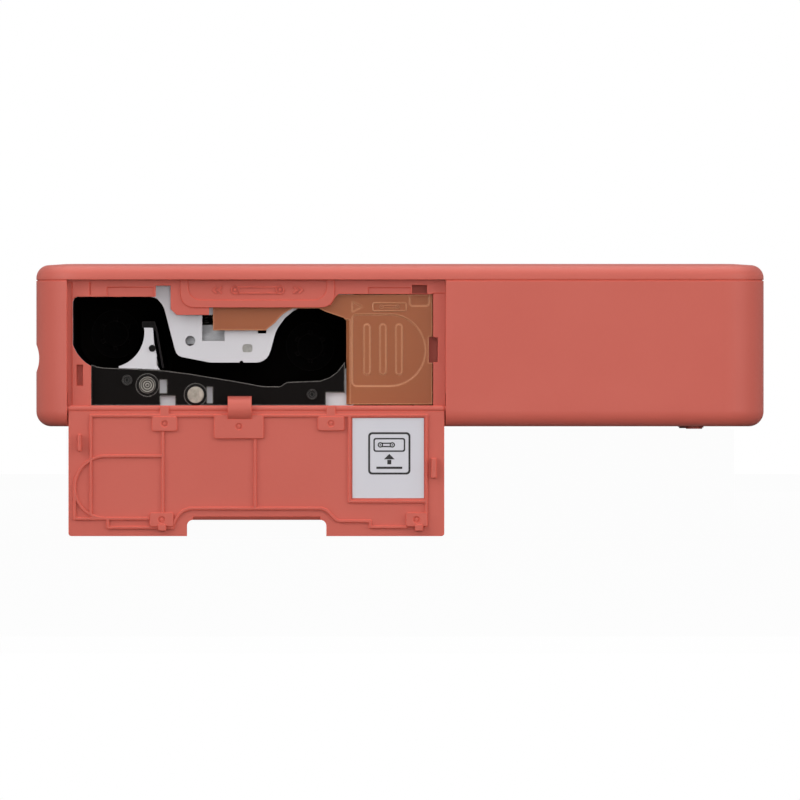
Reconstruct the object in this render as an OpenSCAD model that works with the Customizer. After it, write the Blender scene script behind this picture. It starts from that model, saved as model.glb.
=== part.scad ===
// Compact photo printer, millimetres. X runs along the housing, the ink bay opens to -Y,
// Z is up from the plane of the feet, and the origin is the centre of that plane.

/* [Housing] */
// Length of the housing
body_l = 146.4; // [140:0.1:180]
// Depth of the housing
body_w = 102.2; // [96:0.1:130]
// Height of the lower case
lower_h = 29.5; // [29.3:0.1:36]
// Height of the upper case band
upper_h = 3.2; // [3:0.1:5]
// Wall of both cases
wall = 1.8; // [1.4:0.1:2]
// Thickness of the floor of the lower case
floor_t = 1.6; // [1.4:0.1:1.8]
// Thickness of the top deck
deck_t = 1.6; // [1.4:0.1:1.8]
// Corner radius seen from above
corner_r = 8; // [7:0.1:10]
// Radius of the lower edge
bottom_r = 3; // [2.5:0.1:3.4]
// Radius of the upper edge
top_r = 2.6; // [1.6:0.1:2.8]
// Rise of the crowned top between its edge and its middle
crown = 0.25; // [0:0.05:0.4]
// Height of the feet
foot_h = 0.5; // [0.4:0.1:1.5]
// Diameter of a foot
foot_d = 3.8; // [3:0.1:8]

/* [Ink bay door] */
// Width of the bay opening
bay_w = 76.1; // [76:0.1:80]
// Distance of the bay opening from the end with the print slot
bay_inset = 6.3; // [6.2:0.1:6.4]
// Thickness of the door panel
door_t = 1.5; // [1.2:0.1:1.6]
// Height of the ribs on the door
rib_h = 0.7; // [0.4:0.1:0.9]
// Width of the ribs on the door
rib_w = 0.5; // [0.4:0.1:0.8]
// Radius of the hinge pins of the door
door_pin_r = 0.45; // [0.35:0.05:0.5]
// Length of the hinge pins of the door
door_pin_l = 0.9; // [0.7:0.1:1]
// Angle of the door from closed
door_angle = 180; // [0:5:180]

/* [Ink cassette bay] */
// Radius of a spool chamber
chamber_r = 7.5; // [7:0.1:7.6]
// Wall of the cassette tunnel
tunnel_t = 0.8; // [0.6:0.1:0.9]
// Thickness of the white side plate
plate_t = 1; // [0.8:0.1:1.5]
// Thickness of the eject lever
lever_t = 1.2; // [1:0.1:1.3]
// Travel of the eject lever
lever_travel = 3; // [1:0.1:3.2]

/* [Paper path] */
// Radius of the platen roller
platen_r = 3.3; // [3:0.1:3.4]
// Radius of the capstan roller
capstan_r = 2.2; // [1.8:0.1:2.3]
// Radius of the pinch roller
pinch_r = 1.8; // [1.4:0.1:1.9]
// Radius of the pick-up roller
pickup_r = 3.2; // [2.8:0.1:3.3]
// Radius of the shafts of the platen and of the capstan
shaft_r = 1.65; // [1.35:0.05:1.8]
// Width of the paper path
path_w = 73.4; // [72.6:0.1:73.6]
// Height of the print slot
slot_h = 1.4; // [1:0.1:1.8]

/* [Fits] */
// Clearance round a turning pin or shaft
fit = 0.05; // [0.03:0.01:0.08]
// Gap beside a moving panel
gap = 0.3; // [0.25:0.05:0.4]

/* [Hidden] */
$fn = 64;

// housing
x_left = -body_l / 2;
x_right = body_l / 2;
y_front = -body_w / 2;
y_back = body_w / 2;
z_bottom = foot_h;
z_floor = z_bottom + floor_t;
z_part = z_bottom + lower_h;
z_top = z_part + upper_h;
z_deck = z_top - deck_t;
tray_floor = [z_deck - 5.6, z_deck - 4.6];
foot_x = body_l / 2 - 14;
foot_y = body_w / 2 - 8.1;
foot_seat = 0.3;
seam = [0.25, 0.22];
coral = "#C8675D";
coral_top = "#D78076";
brown = "#9D6146";
pale = "#D2D2D6";
black = "#1B1716";
steel = "#A9A9A6";
rubber = "#2A2A2C";
board_green = "#2F6B47";

// ink bay opening, and the layers behind it from front to back
bay_x0 = x_left + bay_inset;
bay_x1 = bay_x0 + bay_w;
y_sill = y_front + 2.6;
y_bezel = y_front + 3;
bezel_t = 1.1;
tab_raise = 0.5;
y_lever = y_bezel + bezel_t + 0.4;
y_plate = y_lever + lever_t + 0.4;
y_tunnel = y_plate + plate_t;
y_rear = path_w / 2 + gap;
rear_t = 1.2;
sill_h = 4.6;
sill_t = 1.5;

// door hinge
hinge_y = y_front + 1.15;
hinge_z = 4.08;
hinge_bead_r = 0.6;
hinge_block = 1.6;
door_low = 0.62;
door_high = z_part - gap - hinge_z;
tongue_reach = 2.5;
tongue_x = [mech(-34.6), mech(-29.8)];

// mechanism: X values are written from the middle of the nominal housing and ride on the print end
function mech(x) = x_left + 73.2 + x;
// paper feed: X values written likewise, riding on the other end
function feed(x) = x_right - 73.2 + x;
spool_l = [mech(-58.5), 19.4];
spool_r = [mech(-18.5), 16.8];
platen = [mech(-41.1), 6.85];
capstan = [mech(-50.8), 8.8];
pinch = [mech(-50.5), capstan[1] + capstan_r + gap + pinch_r];
head_pivot = [mech(-30.7), 16.2];
head_pivot_r = 1.2;
feed_motor_at = [mech(-60.2), 6.35];
ribbon_motor_at = [mech(-4.8), 16.8];
pickup = [feed(38), tray_floor[0] - 1.8];
pickup_motor_at = [feed(28.6), pickup[1]];
cover_hinge = [feed(48.9), z_top - 1];
cover_bead_r = 1;
turn_low = z_floor + 1.7;
turn_r = (tray_floor[0] + 2.6 - turn_low) / 2;
turn = [feed(50), turn_low + turn_r];
slot_z = 14.2;
lip_h = 5.6;
lip_depth = 0.62;
lip_r = (lip_h * lip_h / 4 + lip_depth * lip_depth) / (2 * lip_depth);

// ---- helpers ----

// two values measured from one
function span(a, v) = [a + v[0], a + v[1]];

// block between two values on each axis
module box(x, y, z) {
    translate([x[0], y[0], z[0]]) cube([x[1] - x[0], y[1] - y[0], z[1] - z[0]]);
}

// rectangle between two values on each axis
module rect(x, y) {
    translate([x[0], y[0]]) square([x[1] - x[0], y[1] - y[0]]);
}

// rectangle with round corners
module round_rect(x, y, r) {
    union() {
        rect([x[0] + r, x[1] - r], y);
        rect(x, [y[0] + r, y[1] - r]);
        for (cx = [x[0] + r, x[1] - r], cy = [y[0] + r, y[1] - r]) translate([cx, cy]) circle(r);
    }
}

// an X-Z outline made solid between two values of Y
module along_y(y) {
    translate([0, y[1], 0]) rotate([90, 0, 0]) linear_extrude(y[1] - y[0]) children();
}

module rod_y(at, r, y) {
    translate([at[0], y[0], at[1]]) rotate([-90, 0, 0]) cylinder(r = r, h = y[1] - y[0]);
}

module rod_x(y, z, r, x) {
    translate([x[0], y, z]) rotate([0, 90, 0]) cylinder(r = r, h = x[1] - x[0]);
}

// a Y-Z outline made solid between two values of X
module along_x(x) {
    translate([x[0], 0, 0]) rotate([90, 0, 90]) linear_extrude(x[1] - x[0]) children();
}

// strip of even width along a line of points, with round joints
module strip(points, t) {
    for (i = [0 : len(points) - 2]) {
        a = points[i];
        d = points[i + 1] - a;
        translate(a) rotate(atan2(d[1], d[0])) translate([0, -t / 2]) square([norm(d), t]);
    }
    for (i = [1 : len(points) - 2]) translate(points[i]) circle(t / 2 + 0.02);
}

// a wall section (distance inboard, height) carried round the four sides of the housing
module rim_sweep() {
    for (a = [0, 180]) rotate(a) translate([-body_l / 2 + corner_r, -body_w / 2, 0])
        rotate([90, 0, 90]) linear_extrude(body_l - 2 * corner_r) children();
    for (a = [90, 270]) rotate(a) translate([-body_w / 2 + corner_r, -body_l / 2, 0])
        rotate([90, 0, 90]) linear_extrude(body_w - 2 * corner_r) children();
    for (sx = [0, 1], sy = [0, 1]) mirror([sx, 0, 0]) mirror([0, sy, 0])
        translate([body_l / 2 - corner_r, body_w / 2 - corner_r, 0])
            rotate_extrude(angle = 90) translate([corner_r, 0]) mirror([1, 0]) children();
}

// the flat middle that rim_sweep leaves open
module middle(z) {
    box([x_left + corner_r, x_right - corner_r], [y_front + corner_r, y_back - corner_r], z);
}

// spur gear outline with straight-sided teeth
module gear_outline(m, teeth, bore) {
    pitch = m * teeth / 2;
    root = pitch - 1.3 * m;
    tip = pitch + 0.75 * m;
    step = 360 / teeth;
    difference() {
        polygon([for (i = [0 : teeth - 1]) for (c = [[-0.3, root], [-0.12, tip], [0.12, tip], [0.3, root]])
            c[1] * [cos((i + c[0]) * step), sin((i + c[0]) * step)]]);
        circle(bore + 0.02);
    }
}

// gear on a shaft along Y, turned by phase degrees
module gear(at, m, teeth, bore, y, phase) {
    translate([at[0], 0, at[1]]) along_y(y) rotate(phase) gear_outline(m, teeth, bore);
}

// coil spring along +Z from the origin
module coil(r, wire, length, turns) {
    sides = 6;
    rings = turns * 12;
    points = [for (i = [0 : rings]) let (a = i * 30, h = wire + i / rings * (length - 2 * wire))
        for (s = [0 : sides - 1]) let (b = s * 360 / sides, q = r + wire / 2 * cos(b))
            [q * cos(a), q * sin(a), h + wire / 2 * sin(b)]];
    faces = concat([[for (s = [0 : sides - 1]) s]],
        [for (i = [0 : rings - 1]) for (s = [0 : sides - 1])
            [i * sides + s, (i + 1) * sides + s, (i + 1) * sides + (s + 1) % sides,
                i * sides + (s + 1) % sides]],
        [[for (s = [sides - 1 : -1 : 0]) rings * sides + s]]);
    polyhedron(points, faces);
}

// ---- housing ----

post_r = 1.9;
screw_r = 0.9;
screw_head_r = 1.6;
screw_head_h = 0.9;
screw_l = 9;
post_h = 8;
post_at = [[x_left + 4.4, y_front + 6.5], [x_left + 4.4, y_back - 6.5], [x_right - 7.2, y_front + 6.6],
    [x_right - 7.2, y_back - 6.6]];
post_radii = [post_r, post_r, 2.4, 2.4];

module lower_section() {
    difference() {
        union() {
            rect([0, corner_r], [z_bottom + bottom_r, z_part]);
            rect([bottom_r, corner_r], [z_bottom, z_part]);
            translate([bottom_r, z_bottom + bottom_r]) circle(bottom_r);
        }
        rect([-1, seam[0]], [z_part - seam[1], z_part + 1]);
        inner_r = bottom_r - wall + 0.6;
        rect([wall, corner_r + 1], [z_floor + inner_r, z_part + 1]);
        rect([wall + inner_r, corner_r + 1], [z_floor, z_part + 1]);
        translate([wall + inner_r, z_floor + inner_r]) circle(inner_r);
    }
}

module port_holes() {
    y = [y_back - wall - 1, y_back + 1];
    along_y(y) round_rect(port_x + [-port_gap, port_gap], port_z + [-port_gap, port_gap], 1.5);
    rod_y([button_x, button_z], button_r + gap, y);
    for (x = lamp_x) rod_y([x, button_z], lamp_r + fit, y);
    along_y(y) rect([latch_x[0] - gap, latch_x[1] + latch_travel + gap],
        [latch_z[0] - gap, latch_z[1] + gap]);
}

module print_slot() {
    rod_y([x_left + lip_depth - lip_r, slot_z], lip_r, [y_front + 4.9, y_back - 4.9]);
    box([x_left - 1, x_left + wall + 1], [-path_w / 2, path_w / 2],
        [slot_z - slot_h / 2, slot_z + slot_h / 2]);
}

module lower_case() {
    color(coral) difference() {
        union() {
            difference() {
                union() {
                    rim_sweep() lower_section();
                    middle([z_bottom, z_floor]);
                }
                box([bay_x0, bay_x1], [y_front - 1, y_sill], [z_bottom - 1, z_part + 1]);
                print_slot();
                port_holes();
            }
            box([bay_x0 - 1, bay_x1 + 1], [y_sill, y_sill + sill_t], [z_bottom + 0.8, sill_h]);
            for (x = [bay_x0 - hinge_block, bay_x1])
                box([x, x + hinge_block], [y_front + wall - 0.2, y_front + 3.6], [z_floor, hinge_z + 2.9]);
            for (i = [0 : 3]) translate([post_at[i][0], post_at[i][1], z_bottom + 0.8])
                cylinder(r = post_radii[i], h = post_h - z_bottom - 0.8);
            box([latch_x[1] + 3 + latch_spring_l, latch_x[1] + 4 + latch_spring_l],
                [y_back - wall - 3.6, y_back - wall + 0.1], latch_z);
        }
        rod_x(hinge_y, hinge_z, door_pin_r + fit, door_x + [-door_pin_l - 0.1, door_pin_l + 0.1]);
        rod_x(hinge_y, hinge_z, tongue_reach + gap, tongue_x + [-gap, gap]);
        for (p = post_at) translate([p[0], p[1], z_bottom - 1]) {
            cylinder(r = screw_r + 0.1, h = post_h + 2);
            cylinder(r = screw_head_r + 0.2, h = 1 + screw_head_h);
        }
        for (sx = [-1, 1], sy = [-1, 1]) translate([sx * foot_x, sy * foot_y, z_bottom - 1])
            cylinder(d = foot_d, h = 1 + foot_seat);
    }
}

module upper_section() {
    z_edge = z_top - crown;
    difference() {
        union() {
            rect([0, corner_r], [z_part, z_edge - top_r]);
            rect([top_r, corner_r], [z_part, z_edge]);
            translate([top_r, z_edge - top_r]) circle(top_r);
            polygon([[top_r, z_edge], [corner_r, z_edge], [corner_r, z_top], [corner_r - 2, z_top - 0.03]]);
        }
        rect([wall, corner_r + 1], [z_part - 1, z_deck - 0.3]);
        rect([wall + 1, corner_r + 1], [z_part - 1, z_deck]);
        rect([-1, corner_r + 1], [z_part - top_r - 1, z_part]);
    }
}

// the opening in the deck for the paper cover
cover_x = [mech(-43), cover_hinge[0] + cover_bead_r];
cover_y = body_w / 2 - 10;
cover_cut_x = [cover_x[0] - gap, cover_x[1] + 0.5];
cover_pin_r = 0.6;
cover_pin_l = 1.2;
cover_t = 1.3;

module upper_case() {
    color(coral_top) difference() {
        union() {
            rim_sweep() upper_section();
            middle([z_deck, z_top]);
            for (i = [0 : 3]) translate([post_at[i][0], post_at[i][1], post_h])
                cylinder(r = post_radii[i], h = z_deck + 0.4 - post_h);
            for (s = [-1, 1]) scale([1, s, 1])
                box(span(cover_hinge[0], [-1.6, 1.6]), [cover_y + gap, cover_y + 3], [z_deck - 1.2, z_deck + 0.4]);
        }
        box(cover_cut_x, [-cover_y - gap, cover_y + gap], [z_deck - 2, z_top + 1]);
        rod_y(cover_hinge, cover_pin_r + fit, [-cover_y - 1.8, cover_y + 1.8]);
        for (p = post_at) translate([p[0], p[1], post_h - 1]) cylinder(r = screw_r - 0.15, h = 5.5);
        along_y([y_front - 1, y_bezel + 3]) rect([bay_x0, bay_x1], [z_part - 2, z_part]);
    }
}

module feet() {
    color(coral) for (sx = [-1, 1], sy = [-1, 1])
        translate([sx * foot_x, sy * foot_y, 0]) {
            cylinder(d = foot_d - 0.5, h = foot_h);
            translate([0, 0, foot_h / 2]) cylinder(d = foot_d, h = foot_h / 2 + foot_seat);
        }
}

module case_screws() {
    color(steel) for (p = post_at) translate([p[0], p[1], z_bottom]) difference() {
        union() {
            translate([0, 0, 0.1]) cylinder(r = screw_head_r, h = screw_head_h - 0.1);
            cylinder(r = screw_r - 0.15, h = screw_l);
        }
        translate([0, 0, -1]) cylinder(r = 0.6, h = 1.5, $fn = 6);
    }
}

// ---- ink bay ----

tab_x = [mech(-44.1), mech(-13.2)];
tab_z = 24.4;
tab_corner = 2.6;
slot_left = [mech(-65), mech(-63.75)];
slot_right = [mech(6), mech(7.6)];
shield_y = [y_plate + 1.6, y_plate + 2.4];

// lower part of the supply chamber: a round floor, cut off where the wall of the bay begins
module supply_opening() {
    intersection() {
        translate(spool_l) circle(chamber_r + 0.2);
        rect([mech(-65.8), mech(-50)], [0, spool_l[1] + 1]);
    }
}

module bezel_outline() {
    difference() {
        rect([bay_x0 - 1.7, bay_x1 + 1.7], [sill_h, z_deck - 0.3]);
        supply_opening();
        polygon([[mech(-62.1), 0], [mech(-62.1), 14], [mech(-65.8), spool_l[1]], [mech(-65.8), 25.6],
            [mech(-65.5), 26.25], [mech(-64.9), 26.57], [mech(-49.1), 26.57], [mech(-49.1), 28.8],
            [mech(-46.1), 28.8], [mech(-46.1), 24.1], [mech(-44.9), 22.9], [mech(-38.4), 22.9],
            [mech(-38.4), tab_z], [mech(-15.6), tab_z], [mech(-13.9), 24.9], [mech(-13.0), 26.4],
            [mech(-12.4), 27.1], [mech(6.67), 27.1], [mech(6.67), 0]]);
        rect([mech(0), slot_right[1]], [13.4, 18.4]);
        rect(slot_left, [8.7, 12.9]);
        rect([mech(2.4), mech(5.4)], [27.2, 28.9]);
        rect([bay_x0 - 3, bay_x0 + 0.05], [0, hinge_z + 3.2]);
        rect([bay_x1 - 0.05, bay_x1 + 3], [0, hinge_z + 3.2]);
    }
}

module tab_outline(inset) {
    x = tab_x + [inset, -inset];
    union() {
        rect(x, [tab_z + inset + tab_corner, z_part - 0.1]);
        rect(x + [tab_corner, -tab_corner], [tab_z + inset, z_part - 0.1]);
        for (cx = x + [tab_corner, -tab_corner]) translate([cx, tab_z + inset + tab_corner])
            circle(tab_corner);
    }
}

module bezel_body() {
    along_y([y_bezel, y_bezel + bezel_t]) bezel_outline();
    for (x = [[bay_x0 - 1.7, bay_x0], [bay_x1, bay_x1 + 1.7]])
        box(x, [y_front + wall - 1, y_bezel + 0.1], [hinge_z + 3.2, z_part]);
    along_y([y_bezel - tab_raise, y_bezel + bezel_t]) tab_outline(0);
}

// plan of the space inside the walls
module inner_plan() {
    inset = wall + 0.05;
    round_rect([x_left + inset, x_right - inset], [y_front + inset, y_back - inset], corner_r - inset);
}

module bay_bezel() {
    color(coral) difference() {
        intersection() {
            translate([0, 0, z_floor]) linear_extrude(z_top - z_floor) inner_plan();
            bezel_body();
        }
        along_y([y_bezel - 1, y_bezel - tab_raise + 0.4]) tab_outline(1.5);
        box([mech(-58.9), mech(-49.5)], [y_bezel - 1, y_bezel + 0.5], [26, 28.5]);
        box([mech(-6.4), mech(2.2)], [y_bezel - 1, y_bezel + 0.5], [26, 28.4]);
        box([bay_x0, mech(-65.9)], [y_bezel - 1, y_bezel + 0.3], [sill_h - 1, z_part - 0.6]);
        box([mech(6.6), bay_x1], [y_bezel - 1, y_bezel + 0.3], [sill_h - 1, 27.3]);
        box([mech(-62.4), mech(-62.15)], [y_bezel - 1, y_bezel + 0.3], [26.9, z_part - 0.6]);
    }
    // blind backs of the slots that take the nubs of the door
    color(coral) {
        difference() {
            box(slot_left + [-0.8, 0.5], [y_bezel + bezel_t - 0.1, y_plate - 0.1], [7.9, 13.3]);
            box(slot_left, [y_bezel, y_plate - 0.6], [8.7, 12.9]);
        }
        box([mech(1.5), mech(10.8)], shield_y, [12.5, 29.3]);
        box([mech(9.8), mech(10.8)], [y_bezel + bezel_t - 0.1, shield_y[0] + 0.1], [12.5, 29.3]);
    }
}

// Door, drawn closed about its own hinge line: X along it, Z towards the free edge, -Y outside.
door_x = [bay_x0 + gap, bay_x1 - gap];
door_face = -(hinge_y - y_front);
door_skin = door_face + door_t;
notch_x = [mech(-42.8), mech(-14.8)];
notch_z = door_high - 3.25;

module door_panel() {
    difference() {
        union() {
            along_y([door_face, door_skin]) round_rect(door_x, [-door_low, door_high], 0.6);
            rod_x(0, 0, hinge_bead_r, door_x + [0.1, -0.1]);
        }
        along_y([door_face - 1, door_skin + 3]) {
            round_rect(notch_x, [notch_z, door_high + 5], 1.2);
        }
        along_x(notch_x + [1.2, -1.2]) polygon([[door_skin - 0.7, notch_z + 0.1],
            [door_skin - 0.7, notch_z], [door_skin + 0.1, notch_z - 0.8], [door_skin + 1, notch_z + 0.1]]);
    }
}

module door_ribs() {
    arc_at = [mech(-59.1), 15.82];
    arc_r = 6.28;
    lines = [
        [[mech(-62.1), 1.4], [mech(5.4), 1.4]],
        [[mech(-62.1), 1.4], [mech(-62.1), 21.4]],
        [[mech(-47.65), 4.4], [mech(-47.65), 20.8]],
        [[mech(-29.1), 5.9], [mech(-29.1), 20.06]],
        [[mech(-47.65), arc_at[1] - arc_r], [arc_at[0], arc_at[1] - arc_r]],
        [[arc_at[0] - arc_r, arc_at[1]], [arc_at[0] - arc_r, 22.1], [mech(-50.6), 22.1]],
        [[mech(-58.7), 22.1], [mech(-58.7), 23.9], [mech(-45.7), 23.9], [mech(-45.3), 22.7],
            [mech(-44.7), 21.6], [mech(-43.7), 20.6], [mech(-42.3), 20.06], [mech(-15.8), 20.06],
            [mech(-14.8), 20.4], [mech(-13.8), 21.4], [mech(-12.8), 22.4], [mech(-12.1), 22.6],
            [mech(-6), 22.6], [mech(-6), 23.8], [mech(1.2), 23.8]],
        [[mech(-10.15), 1.4], [mech(-10.15), 18.65], [mech(5.3), 18.65]],
        [[mech(5.3), 1.4], [mech(5.3), 20.8]]];
    along_y([door_skin - 0.1, door_skin + rib_h]) {
        for (line = lines) strip(line, rib_w);
        for (line = lines, end = [line[0], line[len(line) - 1]]) translate(end) circle(rib_w / 2);
        intersection() {
            difference() {
                translate(arc_at) circle(arc_r + rib_w / 2);
                translate(arc_at) circle(arc_r - rib_w / 2);
            }
            rect([arc_at[0] - 8, arc_at[0]], [arc_at[1] - 8, 22.1]);
        }
    }
}

// clip blocks: X range, Z range, and the round mark of the ejector pin
clips = [
    [[mech(-49.8), mech(-44.8)], [1.6, 4.5]],
    [[mech(-16.5), mech(-11.2)], [1.6, 4.4]],
    [[mech(-50.3), mech(-45.5)], [20.9, 23.7]],
    [[mech(1.2), mech(5.5)], [20.9, 23.7]],
    [[mech(-37.3), mech(-27.4)], [1.2, 6]]];
clip_h = 1;

module door_clips() {
    difference() {
        along_y([door_skin - 0.1, door_skin + clip_h]) for (c = clips) round_rect(c[0], c[1], 0.4);
        for (c = clips) along_y([door_skin + clip_h - 0.3, door_skin + clip_h + 1]) difference() {
            translate([(c[0][0] + c[0][1]) / 2, (c[1][0] + c[1][1]) / 2]) circle(0.65);
            translate([(c[0][0] + c[0][1]) / 2, (c[1][0] + c[1][1]) / 2]) circle(0.3);
        }
    }
    box([mech(-48.2), mech(-46.4)], [door_skin - 0.1, door_skin + 0.7], [-0.5, 1.7]);
    box([mech(-14.8), mech(-13)], [door_skin - 0.1, door_skin + 0.7], [-0.5, 1.7]);
    box([mech(-48.6), mech(-47)], [door_skin - 0.1, y_bezel + 0.9 - hinge_y], [23.3, 24.5]);
    box([mech(3), mech(4.6)], [door_skin - 0.1, y_bezel + 0.9 - hinge_y], [23.3, 24.5]);
}

module door_latches() {
    nub = [door_skin - 0.1, y_bezel + 0.9 - hinge_y];
    box([slot_left[0] + gap, slot_left[1] - gap], nub, [5.2, 8.5]);
    box([slot_right[0] + gap, slot_right[1] - gap], nub, [10, 13.9]);
}

module ink_door() {
    color(coral) translate([0, hinge_y, hinge_z]) rotate([door_angle, 0, 0]) {
        door_panel();
        door_ribs();
        door_clips();
        door_latches();
        rod_x(0, 0, door_pin_r, door_x + [-door_pin_l, door_pin_l]);
        along_x(tongue_x) intersection() {
            circle(tongue_reach);
            rect([-0.4, tongue_reach + 1], [-tongue_reach - 1, tongue_reach + 1]);
        }
    }
}

label_x = [mech(-9.56), mech(4.8)];
label_z = [1.9, 18];

module door_label() {
    color("white") translate([0, hinge_y, hinge_z]) rotate([door_angle, 0, 0])
        box(label_x, [door_skin, door_skin + 0.1], label_z);
}

// ---- eject lever ----

pad_x = [mech(-9.6), mech(-2.1)];
pad_z = 15.8;
pad_r = 7.2;
lever_y = [y_lever, y_lever + lever_t];

module lever_outline() {
    // pad side, with its notch for the nub of the door
    difference() {
        rect([mech(-10.8), mech(6.5)], [4.9, 27]);
        rect([mech(5.8), mech(7)], [13.3, 18.5]);
    }
    // arm over the take-up chamber
    rect([mech(-22), mech(-10.7)], [24.2, 27]);
    polygon([[mech(-16.9), 24.5], [mech(-15), 23.55], [mech(-11.4), 22.35], [mech(-10.8), 21.8],
        [mech(-10.7), 25]]);
    // catch at the end of the arm
    difference() {
        rect([mech(-37.6), mech(-21.5)], [19.8, 27]);
        translate(spool_r) circle(chamber_r + 0.5);
        polygon([[mech(-27), 19.7], [mech(-26.9), 19.9], [mech(-25.15), 21.3], [mech(-25), 19.7]]);
    }
}

module eject_lever() {
    color(brown) {
        difference() {
            along_y(lever_y) lever_outline();
            along_y([y_lever - 1, y_lever + 0.35]) {
                round_rect(pad_x + [0, 0.9], [pad_z - pad_r, pad_z + pad_r], 0.9);
                translate([pad_x[1], pad_z]) circle(pad_r);
            }
            along_y([y_lever - 1, y_lever + 0.2])
                polygon([[mech(-9.6), 25.6], [mech(-9.6), 23.5], [mech(-7.5), 24.55]]);
            along_y([y_lever - 1, y_lever + 0.3]) {
                rect([mech(2), mech(5.85)], [25.3, 28]);
                rect([mech(2.6), mech(5.25)], [24.7, 28]);
                for (x = [mech(2.6), mech(5.25)]) translate([x, 25.3]) circle(0.6);
            }
            translate([mech(-10.8), y_lever, 0]) rotate(45) translate([-0.5, -0.5, 0]) cube([1, 1, 22]);
        }
        for (x = [-6.65, -3.43, -0.22])
            along_y([y_lever, y_lever + 0.45])
                round_rect(span(mech(x), [-0.62, 0.62]), [10.9, 21.05], 0.6);
        box([hook_x, hook_x + 1.2], [lever_y[1] - 0.1, y_tunnel + 2.4], [12.5, 18.5]);
    }
}

hook_x = mech(-3.6);
spring_lug_x = [mech(-9.4), mech(-8.6)];

module lever_spring() {
    color(steel) translate([spring_lug_x[1], y_tunnel + 1.2, 15.5]) rotate([0, 90, 0])
        coil(1, 0.35, hook_x - spring_lug_x[1], 6);
}

// ---- mechanism frame ----

// the outline that the ink cassette passes through: two spool chambers and the neck between them
module cassette_outline() {
    supply_opening();
    translate(spool_r) circle(chamber_r - 0.5);
    polygon([[mech(-65.8), spool_l[1]], [mech(-65.8), 25.6], [mech(-65.5), 26.25], [mech(-64.9), 26.57],
        [mech(-50.2), 26.57], [mech(-48.9), 26.2], [mech(-47.9), 25.1], [mech(-47.4), 24.1],
        [mech(-45.3), 16], [mech(-45.05), 15.3], [mech(-44.6), 14.78], [mech(-44), 14.47],
        [mech(-38.15), 13.33], [mech(-28.9), 13.33], [mech(-28.2), 13.42], [mech(-27.5), 13.72],
        [mech(-26.85), 14.2], [mech(-26.35), 14.9], [mech(-26.05), 15.7], [mech(-25.35), 18.3],
        [mech(-24.6), 20.3], [mech(-23.1), 22.35], [mech(-21.6), 23.6], [mech(-20.6), 24.2],
        [mech(-16.3), 24.26], [mech(-10.5), 22.5], [mech(-10.5), 12.6], [mech(-12.05), 11],
        [mech(-13.55), 10], [mech(-16.06), 9.35], [mech(-22.6), 9.1], [mech(-23.6), 8.4],
        [mech(-27.4), 8.2], [mech(-33.1), 9.2], [mech(-42.2), 10.7], [mech(-48.2), 11.5],
        [mech(-58.5), 12.1]]);
}

module shaft_holes(r) {
    translate(platen) circle(r);
    translate(capstan) circle(r);
}

bush_r = 2.2;
base_z = z_floor;

// flatted end of the head pivot shaft, which keeps it from turning in the side plates
module pivot_end(play) {
    round_rect(span(head_pivot[0], [-1 - play, 1 + play]), span(head_pivot[1], [-0.8 - play, 0.8 + play]), 0.5);
}

module front_side_plate() {
    color(pale) box(spring_lug_x, [y_plate, y_tunnel + 2.4], [12.5, 18.5]);
    color(pale) along_y([y_plate, y_plate + plate_t]) difference() {
        rect([mech(-66.4), spring_lug_x[0]], [base_z, 29]);
        cassette_outline();
        shaft_holes(bush_r + 0.02);
        translate([mech(-42.2), 17.7]) circle(1);
        rect([mech(-39.8), mech(-35.3)], [17.7, 22.9]);
        pivot_end(0);
        translate([mech(-31.9), 13.3]) circle(0.4);
        rect([mech(-28.6), mech(-26.9)], [19.2, 20.4]);
        translate([mech(-54.9), 9.8]) circle(0.65);
        translate([mech(-17.7), 6.95]) circle(0.65);
    }
}

coupler_shaft_r = 1.2;

module rear_side_plate() {
    color(steel) along_y([y_rear, y_rear + rear_t]) difference() {
        union() {
            rect([mech(-66.4), mech(-43.6)], [base_z, 28.2]);
            rect([mech(-44), mech(3)], [base_z, tray_floor[0] - gap]);
        }
        shaft_holes(bush_r + 0.02);
        pivot_end(0);
        translate(spool_l) circle(coupler_shaft_r + fit);
        translate(spool_r) circle(coupler_shaft_r + fit);
        translate(pinch) circle(1 + fit);
        translate(feed_motor_at) circle(1.4);
        translate(ribbon_motor_at) circle(1.4);
    }
}

module lower_frame() {
    color(black) along_y([y_lever, y_plate]) difference() {
        polygon([[mech(-62.1), sill_h + 0.1], [mech(-62.1), 12.9], [mech(-60.9), 12.5], [mech(-59.7), 12.3],
            [mech(-48.2), 11.8], [mech(-42.2), 11.05], [mech(-33.1), 9.55], [mech(-27.4), 8.54],
            [mech(-24.1), 8.54], [mech(-23.5), 8.9], [mech(-22.8), 9.4], [mech(-16.06), 9.65],
            [mech(-14.06), 10.4], [mech(-12.7), 11.4], [mech(-11.8), 12.5], [mech(-11.1), 13.5],
            [mech(-11.1), sill_h + 0.1]]);
        shaft_holes(bush_r + 0.02);
        rect([mech(-48.3), mech(-46.9)], [7.2, 9.85]);
        rect([mech(-38.8), mech(-37.7)], [5.2, 8.4]);
        rect([mech(-48.2), mech(-45.2)], [0, 6.6]);
        rect([mech(-14.9), mech(-11)], [0, 7.3]);
        translate([mech(-54.9), 9.8]) circle(0.65);
        translate([mech(-17.7), 6.95]) circle(0.65);
    }
}

module frame_screws() {
    color(steel) for (p = [[mech(-54.9), 9.8], [mech(-17.7), 6.95]]) difference() {
        union() {
            rod_y(p, 1.05, [y_lever - 0.4, y_lever]);
            rod_y(p, 0.6, [y_lever - 0.1, y_tunnel + 1.2]);
        }
        rod_y(p, 0.8, [y_lever - 1, y_lever - 0.25]);
        rod_y(p, 0.4, [y_lever - 1, y_lever + 0.3]);
    }
}

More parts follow.
